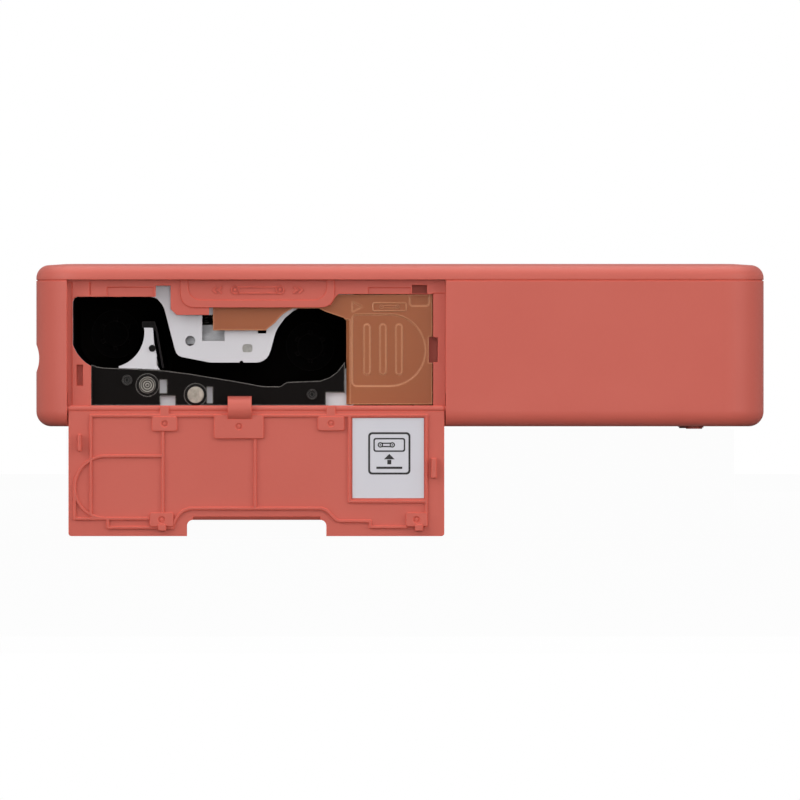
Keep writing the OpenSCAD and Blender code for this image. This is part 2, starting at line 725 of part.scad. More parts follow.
// sheet walls of the two spool chambers, between the side plates
module cassette_tunnel() {
    t = tunnel_t;
    h = tunnel_t / 2;
    color(black) along_y([y_tunnel, y_rear]) difference() {
        union() {
            strip([[mech(-45.4), 18.6], [mech(-47), 24.6], [mech(-47.6), 25.5], [mech(-48.6), 26.6],
                [mech(-50.2), 26.57 + h], [mech(-64.9), 26.57 + h], [mech(-65.8) - h, 25.8],
                [mech(-65.8) - h, spool_l[1]]], t);
            translate(spool_l) intersection() {
                circle(chamber_r + 0.2 + t);
                rect([mech(-65.8) - t - spool_l[0], 4.4], [-chamber_r - 1, 0.1]);
            }
            translate(spool_r) circle(chamber_r + t);
            strip([[mech(-18.5), 24.26 + h], [mech(-16.3), 24.26 + h], [mech(-10.5) + h, 22.7],
                [mech(-10.5) + h, 13]], t);
        }
        cassette_outline();
        rect([mech(-27.5), mech(-22.6)], [0, 13.3]);
        rect([mech(-53.6), mech(-27)], [0, 14.5]);
    }
}

guide_cap = 1.4;
guide_y = [y_tunnel, y_rear];

module ribbon_guide_outline() {
    difference() {
        polygon([[mech(-56.6), 12.2], [mech(-56.6), 14], [mech(-51.85), 17.6], [mech(-51.7), 20.35],
            [mech(-49.7), 20.35], [mech(-49.5), 17.3], [mech(-48.95), 14.8], [mech(-48.95), 12.8],
            [mech(-48.3), 11.9], [mech(-52.3), 12.1]]);
        translate(spool_l) circle(chamber_r - 0.45);
    }
}

guide_pin = [mech(-49.85), 16.2];
guide_pin_r = [0.4, 0.7];

module ribbon_guide() {
    color(pale) difference() {
        along_y(guide_y) ribbon_guide_outline();
        rod_y(guide_pin, guide_pin_r[0] + 0.02, [y_tunnel - 1, y_tunnel + 3]);
        rod_y(pinch, pinch_r + gap, [y_tunnel + guide_cap, y_rear + 1]);
        rod_y(pinch, 1 + fit, [y_tunnel + 0.5, y_rear]);
        box([mech(-54), mech(-47)], [y_tunnel + guide_cap, y_rear + 1], [11, pinch[1]]);
    }
}

module guide_edging() {
    color(black) along_y([y_tunnel, y_rear]) difference() {
        union() {
            polygon([[mech(-51.9), 20.35], [mech(-49.6), 20.35], [mech(-49.5), 19.8], [mech(-49), 19.8],
                [mech(-49.3), 21.6], [mech(-51.9), 21.6]]);
            strip([[mech(-49.15), 20.6], [mech(-47.7), 12.3]], 0.4);
        }
        ribbon_guide_outline();
    }
    color(black) {
        rod_y(guide_pin, guide_pin_r[1], [y_tunnel - 0.4, y_tunnel]);
        rod_y(guide_pin, guide_pin_r[0], [y_tunnel - 0.1, y_tunnel + 2.8]);
    }
}

module roller_bearings() {
    color("#33302E") for (p = [platen, capstan]) {
        difference() {
            union() {
                rod_y(p, bush_r, [y_lever - 0.05, y_tunnel]);
                rod_y(p, bush_r - 0.25, [y_lever - 0.3, y_lever]);
            }
            rod_y(p, shaft_r + fit, [y_lever - 1, y_tunnel + 1]);
        }
        along_y([y_rear, y_rear + rear_t]) difference() {
            translate(p) circle(bush_r);
            translate(p) circle(shaft_r + fit);
        }
    }
}

// ---- rollers and gears ----

gear_y = [y_rear + rear_t + 0.5, y_rear + rear_t + 3.1];
roller_y = [y_tunnel + 4, y_rear - 2.6];
shaft_front = y_lever - 0.5;

module platen_shaft() {
    color("#CBBFAE") rod_y(platen, shaft_r, [shaft_front, y_rear + rear_t + 0.4]);
}

module platen_roller() {
    color(rubber) along_y(roller_y) difference() {
        translate(platen) circle(platen_r);
        translate(platen) circle(shaft_r);
    }
}

module capstan_roller() {
    color(steel) difference() {
        union() {
            rod_y(capstan, capstan_r, roller_y);
            rod_y(capstan, shaft_r, [shaft_front, gear_y[1] + 0.3]);
        }
        for (ring = [[0.75, 0.65], [0.35, 0.25]]) along_y([shaft_front - 1, shaft_front + 0.25]) difference() {
            translate(capstan) circle(ring[0] * shaft_r);
            translate(capstan) circle(ring[1] * shaft_r);
        }
    }
}

feed_distance = norm(capstan - feed_motor_at);
feed_teeth = [15, 25];
feed_m = 2 * feed_distance / (feed_teeth[0] + feed_teeth[1]);
feed_angle = atan2(capstan[1] - feed_motor_at[1], capstan[0] - feed_motor_at[0]);
ribbon_distance = norm(spool_r - ribbon_motor_at);
ribbon_teeth = [20, 30];
ribbon_m = 2 * ribbon_distance / (ribbon_teeth[0] + ribbon_teeth[1]);
pickup_distance = norm(pickup - pickup_motor_at);
pickup_teeth = [12, 20];
pickup_m = 2 * pickup_distance / (pickup_teeth[0] + pickup_teeth[1]);
motor_shaft_r = 0.75;

// the first gear of a pair points a tooth at the other, which meets it with a space
function away(teeth, angle) = angle + 180 + 180 / teeth;

module capstan_gear() {
    color(pale) gear(capstan, feed_m, feed_teeth[1], shaft_r, gear_y, away(feed_teeth[1], feed_angle));
}

module feed_pinion() {
    color("#C9A24A") {
        gear(feed_motor_at, feed_m, feed_teeth[0], motor_shaft_r, gear_y, feed_angle);
        motor_shaft(feed_motor_at, gear_y[1] + 0.2);
    }
}

motor_bore = 4;

module motor(at, r, y) {
    difference() {
        union() {
            rod_y(at, r, y);
            rod_y(at, 1.4, [y[1] - 0.1, y[1] + 0.6]);
        }
        rod_y(at, motor_shaft_r + fit, [y[1] - motor_bore, y[1] + 1]);
    }
}

module motor_shaft(at, y1) {
    rod_y(at, motor_shaft_r, [y_rear - motor_bore + 0.2, y1]);
}

module feed_motor() {
    color(steel) motor(feed_motor_at, 3.3, [y_rear - 24, y_rear]);
}

module ribbon_motor() {
    color(steel) motor(ribbon_motor_at, 4.6, [y_rear - 22, y_rear]);
}

module ribbon_pinion() {
    color("#C9A24A") {
        gear(ribbon_motor_at, ribbon_m, ribbon_teeth[0], motor_shaft_r, gear_y, 180);
        motor_shaft(ribbon_motor_at, gear_y[1] + 0.2);
    }
}

module takeup_gear() {
    color(pale) gear(spool_r, ribbon_m, ribbon_teeth[1], coupler_shaft_r, gear_y, 180 / ribbon_teeth[1]);
}

module pinch_roller() {
    color(steel) {
        rod_y(pinch, pinch_r, [y_tunnel + guide_cap + 0.4, y_rear - 0.5]);
        rod_y(pinch, 1, [y_tunnel + 0.6, y_rear + rear_t]);
    }
}

// splined drive hub that turns a ribbon spool
module coupler(at, y1) {
    rod_y(at, 2.6, [y_rear - 5, y_rear - 0.4]);
    rod_y(at, 5, [y_rear - 1.4, y_rear - 0.4]);
    for (a = [0 : 60 : 300]) translate([at[0], 0, at[1]]) rotate([0, a, 0])
        box([-0.4, 0.4], [y_rear - 4.4, y_rear - 1], [0, 3.3]);
    rod_y(at, coupler_shaft_r, [y_rear - 1, y1]);
}

module supply_coupler() {
    color(black) {
        coupler(spool_l, y_rear + rear_t + 0.4);
        rod_y(spool_l, 2.2, [y_rear + rear_t + 0.3, y_rear + rear_t + 1.4]);
    }
}

module takeup_coupler() {
    color(black) coupler(spool_r, gear_y[1] + 0.3);
}

// ---- print head ----

cheeks = [[y_tunnel + 1.2, y_tunnel + 2.4], [y_rear - 2.4, y_rear - 1.2]];
head_x = [mech(-43.8), mech(-34.6)];

module head_arm() {
    color(steel) {
        for (y = cheeks) along_y(y) difference() {
            polygon([[mech(-43.8), 17], [mech(-43.8), 20.9], [mech(-36), 20.9], [mech(-30), 18.6],
                [mech(-28.6), 17.2], [mech(-28.6), 15.2], [mech(-29.8), 14], [mech(-31.8), 14],
                [mech(-34.6), 17]]);
            translate(head_pivot) circle(head_pivot_r + fit);
        }
        box([head_x[0], head_x[1]], [cheeks[0][1] - 0.1, cheeks[1][0] + 0.1], [19.9, 20.9]);
    }
}

module heat_sink() {
    y = [cheeks[0][1] + 1, cheeks[1][0] - 1];
    color("#B9BBBE") difference() {
        box(head_x, y, [15.1, 19.9]);
        for (x = [1.5 : 1.6 : 6.3]) box(span(head_x[0] + x, [0, 0.8]), [y[0] - 1, y[1] + 1], [16.6, 19.2]);
    }
}

module thermal_head() {
    y = [cheeks[0][1] + 1, cheeks[1][0] - 1];
    color("#8D8478") {
        box([head_x[0], mech(-37)], y, [14.5, 15.1]);
        rod_y([mech(-42.3), 14.55], 0.35, y);
    }
}

module head_pivot_shaft() {
    color(steel) {
        rod_y(head_pivot, head_pivot_r, [y_tunnel, y_rear]);
        along_y([y_plate + 0.2, y_rear + rear_t + 0.2]) pivot_end(0);
    }
}

module head_spring() {
    color(steel) for (y = [y_tunnel + 8, y_rear - 8]) translate([mech(-39), y, 20.9])
        coil(1.2, 0.4, tray_floor[0] - 20.9, 5);
}

// ---- guides ----

guide_t = 0.9;

module exit_guide() {
    color(black) along_y([-path_w / 2, path_w / 2]) union() {
        strip([[mech(-53.9), 10.2], [mech(-59), 10.2], [mech(-70.9), 12.9]], 0.7);
        rect([mech(-66), mech(-65)], [z_floor, 11.5]);
    }
}

module lower_paper_guide() {
    color(black) along_y([-path_w / 2, path_w / 2]) union() {
        rect([mech(10), turn[0] - gap], [z_floor, z_floor + guide_t]);
        strip([[mech(12), z_floor + 0.5], [mech(6), z_floor + 0.5],
            [mech(0), 3.6], [mech(-20), 6.1], [mech(-36.8), 8.2]], guide_t);
        rect([mech(-20), mech(-19)], [z_floor, 6]);
    }
}

tray_z = z_floor + guide_t + 1;
battery_x = [mech(8), feed(44)];
battery_y = [4.6 - path_w / 2, path_w / 2 - 13.6];
battery_h = 9.4;

module battery_tray() {
    color(black) union() {
        box([mech(6), turn[0] - 1.2], [-path_w / 2 - 3, path_w / 2 + 3], [tray_z, tray_z + 0.8]);
        for (s = [-1, 1]) scale([1, s, 1])
            box([mech(6), feed(48)], [path_w / 2 + 2, path_w / 2 + 3], [z_floor, tray_z + 3]);
    }
}

module battery() {
    color("#3A3F4A") box(battery_x, battery_y, [tray_z + 0.8, tray_z + 0.8 + battery_h]);
}

board_z = 15.5;
board_t = 1.2;
port_x = [feed(16), feed(25)];
port_z = [board_z + board_t, board_z + board_t + 3.3];
port_gap = 0.25;
button_x = feed(38);
button_z = 19;
button_r = 3;
button_travel = 0.6;
lamp_x = [feed(30), feed(32.6)];
lamp_r = 0.8;

module main_board() {
    standoff_x = [mech(8) + 2, feed(46) - 2];
    standoff_y = [2.6 - path_w / 2, y_back - 8];
    color(board_green) difference() {
        union() {
            box([mech(8), feed(46)], [y_front + 14, y_back - wall - 1.7], [board_z, board_z + board_t]);
            box([feed(0), feed(12)], [-22, -10], [board_z + board_t, board_z + board_t + 1.2]);
            box([feed(2), feed(9)], [4, 11], [board_z + board_t, board_z + board_t + 1]);
            box([button_x - 3, button_x + 3], [y_back - wall - 4.6, y_back - wall - 1.7],
                [board_z + board_t, board_z + board_t + 3.6]);
        }
        for (x = standoff_x, y = standoff_y) translate([x, y, board_z - 1])
            cylinder(r = 1.1, h = 3);
    }
    color(pale) for (x = standoff_x, p = [[standoff_y[0], tray_z + 0.8], [standoff_y[1], z_floor]])
        translate([x, p[0], p[1]]) cylinder(r = 1.1, h = board_z + board_t - p[1]);
}

module charging_port() {
    y = [y_back - wall - 6.8, y_back - 0.3];
    z = port_z;
    color(steel) difference() {
        along_y(y) round_rect(port_x, z, 1.4);
        along_y([y[0] + 0.4, y[1] + 1]) round_rect(port_x + [0.35, -0.35], z + [0.35, -0.35], 1.1);
    }
    color(black) box(port_x + [2, -2], [y[0] + 0.3, y[1] - 1], z + [1.3, -1.3]);
}

module power_button() {
    color(pale) {
        rod_y([button_x, button_z], button_r, [y_back - wall + 0.2, y_back + 0.3]);
        rod_y([button_x, button_z], button_r + 0.8, [y_back - wall - 0.9, y_back - wall - 0.1]);
        rod_y([button_x, button_z], 1, [y_back - wall - 1, y_back - wall + 0.3]);
    }
}

module status_lamps() {
    color("white") for (x = lamp_x) {
        rod_y([x, button_z], lamp_r, [y_back - wall - 2.6, y_back + 0.1]);
        box([x - lamp_r, x + lamp_r], [y_back - wall - 2.6, y_back - wall - 1.8],
            [board_z + board_t, button_z]);
    }
}

module turn_guide_outer() {
    color(black) along_y([-path_w / 2, path_w / 2]) union() {
        intersection() {
            difference() {
                translate(turn) circle(turn_r + 1.6);
                translate(turn) circle(turn_r + 0.6);
            }
            rect([turn[0], turn[0] + 20], [0, 40]);
        }
        rect([turn[0] + turn_r - 3, turn[0] + turn_r - 1], [z_floor, turn[1] - turn_r + 3.2]);
    }
}

module turn_guide_inner() {
    color(black) along_y([-path_w / 2, path_w / 2]) difference() {
        union() {
            translate(turn) circle(turn_r - 0.6);
            rect([turn[0] - 2, turn[0]], [tray_z + 0.8, turn[1] + turn_r - 0.6]);
        }
        translate(turn) circle(turn_r - 1.6);
        rect([turn[0] - 20, turn[0] - 1], [0, 40]);
    }
}

// ---- paper compartment ----

tray_x = [mech(-42.5), feed(46.5)];
tray_y = body_w / 2 - 11.6;
tray_wall = 1.2;
flange = 2.6;

module paper_tray() {
    y = [-tray_y, tray_y];
    color("#3C3A3A") difference() {
        union() {
            box(tray_x, y, [tray_floor[0], z_deck]);
            box([tray_x[0] - flange, tray_x[1]], [-tray_y - flange - 0.8, tray_y + flange + 0.8],
                [z_deck - 1, z_deck]);
            for (s = [-1, 1]) scale([1, s, 1]) along_y([14.4, 16]) difference() {
                rect([pickup[0] - 3, pickup[0] + 3], [pickup[1] - 2, tray_floor[0] + 0.1]);
                translate(pickup) circle(1.2 + fit);
            }
        }
        box([tray_x[0] + tray_wall, tray_x[1] - tray_wall], y + [tray_wall, -tray_wall],
            [tray_floor[1], z_deck + 1]);
        box([tray_x[1] - 2, tray_x[1] + 1], [-path_w / 2, path_w / 2], [tray_floor[1], tray_floor[1] + 2]);
        box(span(pickup[0], [-4.4, 4.4]), [-13.5, 13.5], [tray_floor[0] - 1, tray_floor[1] + 1]);
        box([latch_tab_x[0] - 0.6, latch_tab_x[1] + 1.4], [tray_y, cover_y + 4], [z_deck - 2, z_deck + 1]);
    }
}

module pickup_shaft() {
    color(steel) rod_y(pickup, 1.2, [-18, tray_y + 3.6]);
}

module pickup_roller() {
    color(rubber) along_y([-12, 12]) difference() {
        translate(pickup) circle(pickup_r);
        translate(pickup) circle(1.2);
    }
}

pickup_gear_y = [tray_y + 0.8, tray_y + 3];

module pickup_gear() {
    color(pale) gear(pickup, pickup_m, pickup_teeth[1], 1.2, pickup_gear_y, 180 + 180 / pickup_teeth[1]);
}

module pickup_pinion() {
    color("#C9A24A") {
        gear(pickup_motor_at, pickup_m, pickup_teeth[0], 0.5, pickup_gear_y, 0);
        rod_y(pickup_motor_at, 0.5, [tray_y - 4.8, pickup_gear_y[1] + 0.2]);
    }
}

module pickup_motor() {
    z = pickup_motor_at[1];
    color(steel) difference() {
        along_y([tray_y - 14, tray_y - 2]) intersection() {
            translate(pickup_motor_at) circle(3);
            rect(span(pickup_motor_at[0], [-3, 3]), [z - 3, tray_floor[0]]);
        }
        rod_y(pickup_motor_at, 0.5 + fit, [tray_y - 5, tray_y]);
    }
}

plate_hinge = [feed(10), z_deck - 0.4];
plate_pin_r = 0.5;
plate_low = tray_floor[1] + 0.8;
lug_y = [15.2, 16.4];

module paper_cover() {
    y = [-cover_y, cover_y];
    color(coral_top) difference() {
        union() {
            box([cover_x[0], cover_hinge[0]], y, [z_top - cover_t, z_top]);
            rod_y(cover_hinge, cover_bead_r, y);
            rod_y(cover_hinge, cover_pin_r, [y[0] - cover_pin_l, y[1] + cover_pin_l]);
            for (s = [-1, 1]) scale([1, s, 1]) along_y(lug_y) {
                translate(plate_hinge) circle(1.1);
                rect(span(plate_hinge[0], [-1.1, 1.1]), [plate_hinge[1], z_top - cover_t + 0.1]);
            }
            box(latch_tab_x, [cover_y - 1.5, cover_y - 0.5], [z_deck - 2.6, z_top - 1]);
            box([latch_tab_x[1] - 0.1, latch_tab_x[1] + 0.8], [cover_y - 1.5, cover_y - 0.5],
                [z_deck - 2.6, z_deck - 1.8]);
        }
        rod_y(plate_hinge, plate_pin_r + fit, [-20, 20]);
    }
}

module pressure_plate() {
    color(steel) {
        box([plate_hinge[0] - 1, pickup[0] + 6], [-14, 14], [plate_low, plate_low + 0.8]);
        for (s = [-1, 1]) scale([1, s, 1]) {
            along_y([13.2, 14]) {
                translate(plate_hinge) circle(plate_pin_r);
                rect(span(plate_hinge[0], [-plate_pin_r, plate_pin_r]), [plate_low, plate_hinge[1]]);
            }
            rod_y(plate_hinge, plate_pin_r, [13.3, lug_y[1]]);
        }
    }
}

latch_tab_x = [mech(-38), mech(-35)];
latch_x = [mech(-36), mech(-26)];
latch_z = [23.5, 26.5];
latch_travel = 3;
latch_spring_l = 7;

module cover_latch() {
    x0 = latch_tab_x[1] + 0.8 + gap;
    color(coral) {
        box(latch_x, [y_back - wall - 0.3, y_back + 0.4], latch_z);
        for (i = [0 : 3]) box(span(latch_x[0] + 2 + 1.6 * i, [0, 0.8]), [y_back + 0.3, y_back + 0.7],
            latch_z + [0.5, -0.5]);
        box(latch_x + [-1.4, 3], [y_back - wall - 1.3, y_back - wall - 0.3], latch_z + [-1.2, 1.2]);
        box([x0, x0 + 3], [y_back - wall - 1.3, y_back - wall - 0.3], [latch_z[1], z_deck - 1.3]);
        box([x0, x0 + 3], [cover_y - 1.2, y_back - wall - 0.4], [z_deck - 2.5, z_deck - 1.3]);
    }
}

module latch_spring() {
    color(steel) translate([latch_x[1] + 3, y_back - wall - 1.8, (latch_z[0] + latch_z[1]) / 2])
        rotate([0, 90, 0]) coil(1, 0.35, latch_spring_l, 6);
}

lower_case();
upper_case();
feet();
case_screws();
bay_bezel();
ink_door();
door_label();
eject_lever();
lever_spring();
front_side_plate();
rear_side_plate();
lower_frame();
frame_screws();
cassette_tunnel();
ribbon_guide();
guide_edging();
platen_shaft();
platen_roller();
capstan_roller();
capstan_gear();
pinch_roller();
roller_bearings();
head_arm();
heat_sink();
thermal_head();
head_pivot_shaft();
head_spring();
supply_coupler();
takeup_coupler();
takeup_gear();
ribbon_motor();
ribbon_pinion();
feed_motor();
feed_pinion();
exit_guide();
lower_paper_guide();
battery_tray();
battery();
main_board();
charging_port();
power_button();
status_lamps();
turn_guide_outer();
turn_guide_inner();
paper_tray();
pickup_shaft();
pickup_roller();
pickup_gear();
pickup_motor();
pickup_pinion();
paper_cover();
pressure_plate();
cover_latch();
latch_spring();
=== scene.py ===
"""Looks for the compact photo printer: materials, small moulded details, light and camera."""

import math

import bmesh
import bpy
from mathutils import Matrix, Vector


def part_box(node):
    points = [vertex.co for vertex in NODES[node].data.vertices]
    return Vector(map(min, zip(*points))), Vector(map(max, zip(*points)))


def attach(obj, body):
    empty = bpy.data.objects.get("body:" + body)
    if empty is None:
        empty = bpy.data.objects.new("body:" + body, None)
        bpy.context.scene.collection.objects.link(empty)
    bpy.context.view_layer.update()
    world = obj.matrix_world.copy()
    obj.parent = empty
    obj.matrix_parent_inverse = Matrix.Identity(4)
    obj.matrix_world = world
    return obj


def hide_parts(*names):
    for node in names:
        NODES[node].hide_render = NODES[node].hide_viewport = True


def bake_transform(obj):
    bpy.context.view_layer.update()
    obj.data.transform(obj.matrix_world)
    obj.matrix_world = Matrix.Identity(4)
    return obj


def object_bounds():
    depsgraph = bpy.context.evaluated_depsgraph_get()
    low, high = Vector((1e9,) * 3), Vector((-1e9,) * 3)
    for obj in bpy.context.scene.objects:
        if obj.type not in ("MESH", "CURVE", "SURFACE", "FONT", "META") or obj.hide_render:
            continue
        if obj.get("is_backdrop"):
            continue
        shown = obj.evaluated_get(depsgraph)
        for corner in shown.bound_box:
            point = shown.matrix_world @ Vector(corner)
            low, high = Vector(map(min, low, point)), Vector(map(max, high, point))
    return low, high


bl_info = {
    "name": "Compact photo printer",
    "version": (1, 0, 0),
    "blender": (4, 5, 0),
    "location": "3D View > Sidebar > Photo printer",
    "description": "Finishes and small details of a pocket photo printer with a hanging ink door",
    "category": "Object",
}

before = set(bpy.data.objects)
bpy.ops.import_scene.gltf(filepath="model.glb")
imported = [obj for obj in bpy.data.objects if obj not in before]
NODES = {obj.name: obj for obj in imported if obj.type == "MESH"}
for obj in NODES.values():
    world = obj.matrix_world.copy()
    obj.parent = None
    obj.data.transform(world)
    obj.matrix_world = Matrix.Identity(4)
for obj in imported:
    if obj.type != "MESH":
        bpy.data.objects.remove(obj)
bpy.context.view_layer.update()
MM = 0.001
# Blender's noise seldom leaves this range, so colours and roughness are spread over it.
NOISE_LOW, NOISE_HIGH = 0.3, 0.7


# ---- colour and node helpers ----


def linear(code):
    """Turn an sRGB hex code into the linear colour that shaders take."""
    parts = [int(code[i : i + 2], 16) / 255 for i in (1, 3, 5)]
    return [c / 12.92 if c <= 0.04045 else ((c + 0.055) / 1.055) ** 2.4 for c in parts] + [1.0]


def put(tree, kind, inputs=None, **settings):
    """Add a node with its settings, values and links."""
    made = tree.nodes.new(kind)
    for key, value in settings.items():
        setattr(made, key, value)
    for key, value in (inputs or {}).items():
        if isinstance(value, bpy.types.NodeSocket):
            tree.links.new(value, made.inputs[key])
        else:
            made.inputs[key].default_value = value
    return made


def start(name, **sockets):
    """A new material, its tree and its shader, with the shader's constants set."""
    made = bpy.data.materials.new(name)
    made.use_nodes = True
    shader = made.node_tree.nodes["Principled BSDF"]
    for key, value in sockets.items():
        shader.inputs[key.replace("_", " ")].default_value = value
    return made, made.node_tree, shader


def place(tree):
    """The point being shaded, in metres in the object's own frame."""
    return put(tree, "ShaderNodeTexCoord").outputs["Object"]


def grain(tree, size_mm, detail=2.0, rough=0.5, stretch=None):
    """Noise whose lumps are about size_mm across."""
    point = place(tree)
    if stretch:
        point = put(tree, "ShaderNodeMapping", {"Vector": point, "Scale": stretch}).outputs["Vector"]
    return put(
        tree,
        "ShaderNodeTexNoise",
        {"Vector": point, "Scale": 1 / (size_mm * MM * 2), "Detail": detail, "Roughness": rough},
    ).outputs["Fac"]


def between(tree, factor, low, high):
    """Spread a 0 to 1 value between two numbers."""
    return put(
        tree,
        "ShaderNodeMapRange",
        {
            "Value": factor,
            "From Min": NOISE_LOW,
            "From Max": NOISE_HIGH,
            "To Min": low,
            "To Max": high,
        },
    ).outputs["Result"]


def tint(tree, factor, code_a, code_b):
    """Blend two sRGB colours by a 0 to 1 value."""
    ramp = put(tree, "ShaderNodeValToRGB", {"Fac": factor})
    ends = ((NOISE_LOW, code_a), (NOISE_HIGH, code_b))
    for element, (position, code) in zip(ramp.color_ramp.elements, ends):
        element.position = position
        element.color = linear(code)
    return ramp.outputs["Color"]


def relief(tree, shader, height, depth_mm, round_mm=0.0):
    """Bump of depth_mm, over edges that the mould or the press left rounded by round_mm."""
    inputs = {"Height": height, "Strength": 1.0, "Distance": depth_mm * MM}
    if round_mm:
        soft = put(tree, "ShaderNodeBevel", {"Radius": round_mm * MM}, samples=4)
        inputs["Normal"] = soft.outputs["Normal"]
    bump = put(tree, "ShaderNodeBump", inputs)
    tree.links.new(bump.outputs["Normal"], shader.inputs["Normal"])


def edges(tree, width_mm):
    """1 along the edges of a piece, within width_mm of them, and 0 on its faces: the mask of the painted
    highlights along edges.
    """
    soft = put(tree, "ShaderNodeBevel", {"Radius": width_mm * MM}, samples=4).outputs["Normal"]
    true = put(tree, "ShaderNodeNewGeometry").outputs["True Normal"]
    same = put(tree, "ShaderNodeVectorMath", {0: soft, 1: true}, operation="DOT_PRODUCT")
    # the cosine between the two falls from 1 on a face to this value, where the painted highlight along
    # the edges is at its full strength
    highlighted = 0.88
    facing = {"Value": same.outputs["Value"], "From Min": 1.0, "From Max": highlighted}
    return put(tree, "ShaderNodeMapRange", facing).outputs["Result"]


def over(tree, factor, below, code):
    """Lay an sRGB colour over another by a 0 to 1 value."""
    mix = put(tree, "ShaderNodeMix", data_type="RGBA")
    tree.links.new(factor, mix.inputs["Factor"])
    tree.links.new(below, mix.inputs[6])
    mix.inputs[7].default_value = linear(code)
    return mix.outputs[2]


def moulded(
    name, code, shade, grain_mm, depth_mm, rough, round_mm=0.2, ior=1.53, edge_highlight=None, highlight_mm=0.35, **more
):
    """Injection-moulded plastic: even colour with a faint flow mottle over the mould's grain, and an
    optional painted highlight along its edges.
    """
    made, tree, shader = start(name, IOR=ior, **more)
    colour = tint(tree, grain(tree, 14, 3), code, shade)
    # a lighter colour laid along the edges is a painted highlight
    if edge_highlight:
        colour = over(tree, edges(tree, highlight_mm), colour, edge_highlight)
    tree.links.new(colour, shader.inputs["Base Color"])
    fine = grain(tree, grain_mm, 2, 0.6)
    tree.links.new(between(tree, fine, rough - 0.05, rough + 0.05), shader.inputs["Roughness"])
    relief(tree, shader, fine, depth_mm, round_mm)
    return made


def metal(name, code, shade, rough, stretch, line_mm, depth_mm, round_mm=0.1, metallic=1.0):
    """Bare metal with the fine lines of its rolling, turning or drawing."""
    made, tree, shader = start(name, Metallic=metallic)
    lines = grain(tree, line_mm, 3, 0.6, stretch)
    tree.links.new(tint(tree, lines, code, shade), shader.inputs["Base Color"])
    tree.links.new(between(tree, lines, rough - 0.07, rough + 0.07), shader.inputs["Roughness"])
    relief(tree, shader, lines, depth_mm, round_mm)
    return made


def turned(name, code, shade, rough, axis, ring_mm, metallic):
    """A lathe-turned end: tool rings round an axis that runs along Y through the point axis."""
    made, tree, shader = start(name, Metallic=metallic)
    off = put(tree, "ShaderNodeVectorMath", {0: place(tree), 1: axis}, operation="SUBTRACT").outputs[0]
    flat = put(tree, "ShaderNodeVectorMath", {0: off, 1: (1, 0, 1)}, operation="MULTIPLY").outputs[0]
    away = put(tree, "ShaderNodeVectorMath", {0: flat}, operation="LENGTH").outputs["Value"]
    turns = put(tree, "ShaderNodeMath", {0: away, 1: math.tau / (ring_mm * MM)}, operation="MULTIPLY")
    wave = put(tree, "ShaderNodeMath", {0: turns.outputs[0]}, operation="SINE").outputs[0]
    half = put(tree, "ShaderNodeMath", {0: wave, 1: 0.5, 2: 0.5}, operation="MULTIPLY_ADD").outputs[0]
    tree.links.new(tint(tree, half, code, shade), shader.inputs["Base Color"])
    cloudy = between(tree, grain(tree, 0.4), rough - 0.08, rough + 0.08)
    tree.links.new(cloudy, shader.inputs["Roughness"])
    relief(tree, shader, half, 0.02, 0.1)
    return made


# ---- sizes and colours that a user would change ----


class PrinterColours(bpy.types.PropertyGroup):
    """Colours of the plastic and metal parts."""

    case: bpy.props.StringProperty(
        name="Case", description="Coral of the housing and door", default="#CB6254"
    )
    case_shade: bpy.props.StringProperty(
        name="Case mottle", description="Second coral of the faint flow mottle", default="#C75D4F"
    )
    # painted highlight: the lighter, redder coral laid along the edges of the case and door
    case_edge_highlight: bpy.props.StringProperty(
        name="Case edges", description="Coral along rubbed edges", default="#EA6350"
    )
    lever: bpy.props.StringProperty(
        name="Lever", description="Brown of the eject lever", default="#9F5A34"
    )
    lever_shade: bpy.props.StringProperty(
        name="Lever mottle", description="Second brown of the lever", default="#995430"
    )
    # painted highlight: the pale brown laid along the ribs and outlines of the lever
    lever_edge_highlight: bpy.props.StringProperty(
        name="Lever edges", description="Brown along rubbed edges", default="#D99A72"
    )
    plate: bpy.props.StringProperty(
        name="Side plate", description="Pale side plate", default="#DCD9DC"
    )
    backdrop: bpy.props.StringProperty(
        name="Backdrop", description="Floor and backdrop", default="#808080"
    )


class PrinterSizes(bpy.types.PropertyGroup):
    """Sizes of the stage and of the mould's finish."""

    view_width: bpy.props.FloatProperty(
        name="View width", description="Width seen at the front face", default=0.1606, unit="LENGTH"
    )
    camera_away: bpy.props.FloatProperty(
        name="Camera distance", description="From the camera to the front face", default=3.5,
        unit="LENGTH",
    )
    camera_height: bpy.props.FloatProperty(
        name="Camera height", description="Height of the level camera", default=0.0058, unit="LENGTH"
    )
    case_grain: bpy.props.FloatProperty(
        name="Case grain", description="Size of the moulded grain, in millimetres", default=0.35,
        min=0.1, max=2,
    )


# ---- materials ----


def centre(node):
    """Middle of a node's box at rest."""
    low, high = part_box(node)
    return (Vector(low) + Vector(high)) / 2


def circuit_board(name):
    """Glass epoxy under solder mask: darker lines of copper run under the green."""
    made, tree, shader = start(name, IOR=1.5)
    track_length, track_width = 3.2 * MM, 1.1 * MM
    scale = (1 / track_length, 1 / track_width, 1)
    point = put(tree, "ShaderNodeMapping", {"Vector": place(tree), "Scale": scale})
    tracks = put(
        tree,
        "ShaderNodeTexBrick",
        {
            "Vector": point.outputs[0],
            "Color1": linear("#2C7049"),
            "Color2": linear("#37805A"),
            "Mortar": linear("#1E5737"),
            "Scale": 1.0,
            "Mortar Size": 0.16,
            "Brick Width": 1.0,
            "Row Height": 1.0,
        },
    )
    tree.links.new(tracks.outputs["Color"], shader.inputs["Base Color"])
    tree.links.new(between(tree, grain(tree, 0.6), 0.3, 0.4), shader.inputs["Roughness"])
    relief(tree, shader, tracks.outputs["Fac"], 0.02, 0.1)
    return made


